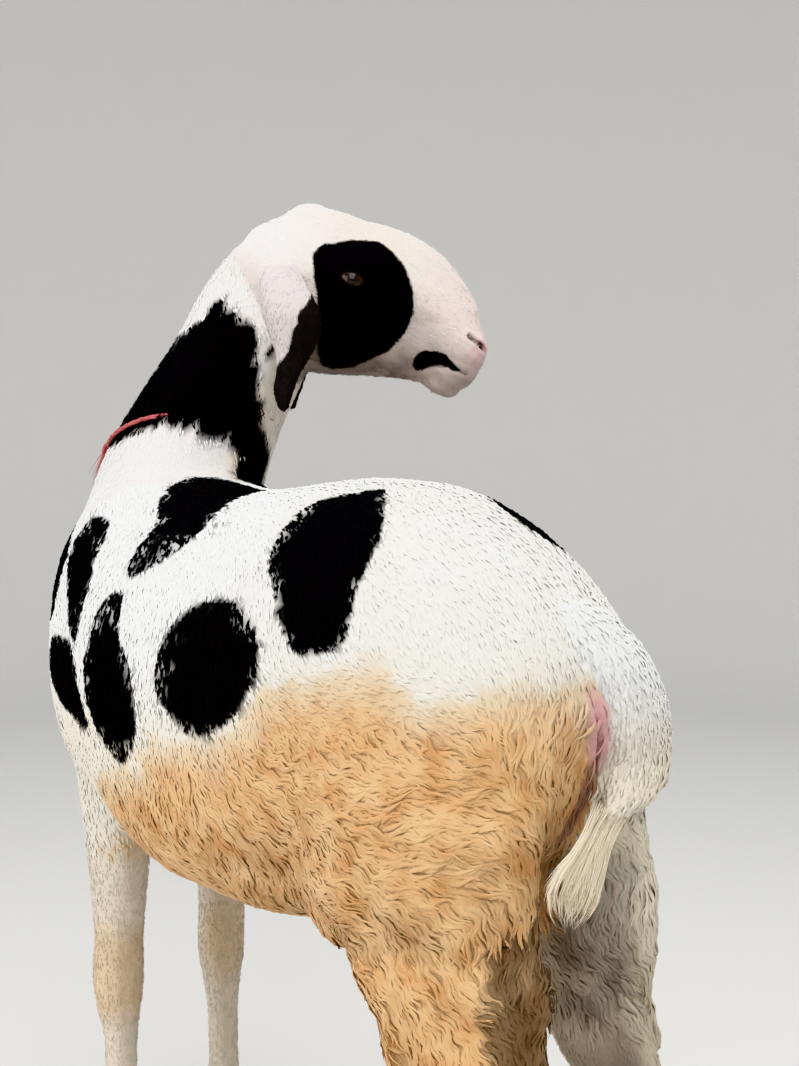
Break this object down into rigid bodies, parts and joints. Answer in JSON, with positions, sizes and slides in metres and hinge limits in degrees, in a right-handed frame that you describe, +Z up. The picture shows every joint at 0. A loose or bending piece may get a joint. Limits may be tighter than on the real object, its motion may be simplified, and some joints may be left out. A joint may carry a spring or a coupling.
{
  "type": "dumba sheep",
  "caption": "Life-size still model of a young polled fat-tailed ewe, standing square on its hooves with the neck raised and the head turned back over the right side.",
  "frame": {"origin": "on the floor under the middle of the sheep's bounding box", "axes": "+Z up; the trunk heads along -Y, so the tail is at +Y; the sheep's left side is +X; the head is turned back to -X and +Y"},
  "size_m": [0.4528, 0.78, 1.0062],
  "materials": {
    "fleece": "matte short crimped wool, white with black spots above and hennaed tan below",
    "short_hair": "short smooth hair, white with a black patch round the eye",
    "eye": "wet dark brown",
    "horn": "worn hoof horn",
    "cord": "faded red twisted cord"
  },
  "bodies": {
    "root": {"torso": "fleece", "neck": "fleece", "head": "short_hair", "tail": "fleece", "foreleg_left": "fleece", "foreleg_right": "fleece", "hind_leg_left": "fleece", "hind_leg_right": "fleece", "ear_left": "short_hair", "ear_right": "short_hair", "eye_left": "eye", "eye_right": "eye", "claw_foreleg_left_inner": "horn", "claw_foreleg_left_outer": "horn", "claw_foreleg_right_inner": "horn", "claw_foreleg_right_outer": "horn", "claw_hind_leg_left_inner": "horn", "claw_hind_leg_left_outer": "horn", "claw_hind_leg_right_inner": "horn", "claw_hind_leg_right_outer": "horn", "collar": "cord"}
  },
  "joints": []
}
